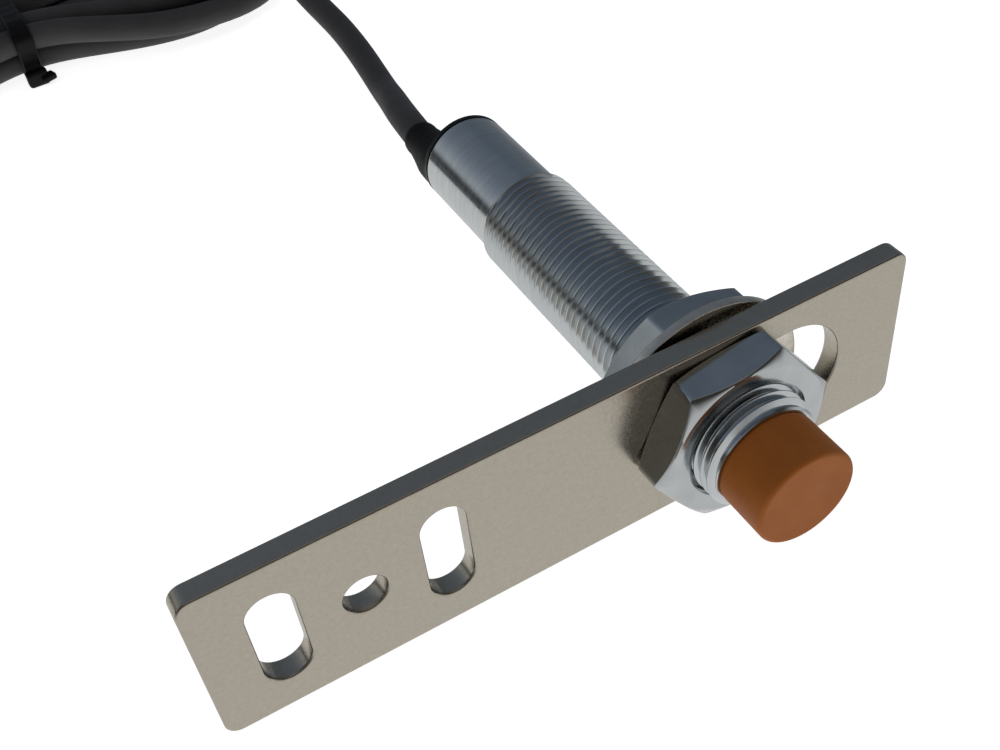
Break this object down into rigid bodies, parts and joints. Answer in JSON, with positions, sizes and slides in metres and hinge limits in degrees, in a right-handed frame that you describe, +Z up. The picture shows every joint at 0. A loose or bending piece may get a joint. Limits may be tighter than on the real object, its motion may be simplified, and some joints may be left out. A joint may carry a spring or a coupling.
{
  "type": "inductive proximity sensor",
  "caption": "Threaded cylindrical proximity sensor with an orange sensing cap, clamped by hexagon nuts in a slotted bracket plate, with a fixed grey cable.",
  "frame": {"origin": "centre of the base of the sensor and its bracket, on the surface that they stand on", "axes": "X runs along the bracket plate, +Y runs along the sensor from its sensing face towards its cable, +Z is up"},
  "size_m": [0.1289, 0.1663, 0.0214],
  "materials": {
    "plate_nickel": "satin nickel plate, fine grain",
    "nut_nickel": "bright nickel",
    "washer_steel": "plated spring steel",
    "housing_nickel": "nickel-plated brass",
    "cap_orange": "satin",
    "ferrite": "matte sintered",
    "bobbin_plastic": "matte",
    "enamelled_copper": "enamelled",
    "holder_plastic": "matte",
    "board_green": "solder mask",
    "chip_black": "moulded epoxy",
    "resistor_black": "glazed",
    "capacitor_tan": "ceramic",
    "led_amber": "clear amber",
    "pipe_clear": "clear",
    "resin_brown": "cast resin",
    "cap_black": "satin black",
    "relief_black": "soft matte",
    "jacket_grey": "matte PVC",
    "wire_brown": "PVC",
    "wire_blue": "PVC",
    "wire_black": "PVC",
    "tie_black": "nylon"
  },
  "bodies": {
    "sensor": {"housing": "housing_nickel", "sensing_cap": "cap_orange", "ferrite_core": "ferrite", "coil_bobbin": "bobbin_plastic", "coil_winding": "enamelled_copper", "core_holder": "holder_plastic", "coil_leads": "enamelled_copper", "circuit_board": "board_green", "oscillator_ic": "chip_black", "output_transistor": "chip_black", "resistors": "resistor_black", "capacitors": "capacitor_tan", "protection_diode": "chip_black", "indicator_led": "led_amber", "light_pipe": "pipe_clear", "potting_resin": "resin_brown", "end_cap": "cap_black", "strain_relief": "relief_black", "cable_entry": "jacket_grey", "conductor_brown": "wire_brown", "conductor_blue": "wire_blue", "conductor_black": "wire_black", "cable_lead": "jacket_grey", "cable_hank": "jacket_grey", "cable_tail": "jacket_grey", "cable_tie": "tie_black", "wire_brown": "wire_brown", "wire_blue": "wire_blue", "wire_black": "wire_black"},
    "bracket": {"bracket_plate": "plate_nickel"},
    "carriage": {"lock_washer": "washer_steel"},
    "front_nut": {"front_nut": "nut_nickel"},
    "rear_nut": {"rear_nut": "nut_nickel"}
  },
  "joints": [
    {"name": "clamp_slide", "type": "slide", "parent": "bracket", "child": "carriage", "axis": [1, 0, 0], "range_m": [-0.001, 0.0075]},
    {"name": "front_nut_turn", "type": "hinge", "parent": "carriage", "child": "front_nut", "pos_m": [0.0155, -0.0251, 0.0107], "axis": [0, 1, 0], "range_deg": [-1000, 10200]},
    {"name": "rear_nut_turn", "type": "hinge", "parent": "carriage", "child": "rear_nut", "pos_m": [0.0155, -0.01735, 0.0107], "axis": [0, 1, 0], "range_deg": [-1000, 10200]},
    {"name": "sensor_feed", "type": "slide", "parent": "carriage", "child": "sensor", "axis": [0, -1, 0], "range_m": [-0.0025, 0.028]}
  ],
  "couplings": [
    {"joint": "front_nut_turn", "follows": "sensor_feed", "rad_per_m": 6283.2},
    {"joint": "rear_nut_turn", "follows": "sensor_feed", "rad_per_m": 6283.2}
  ]
}
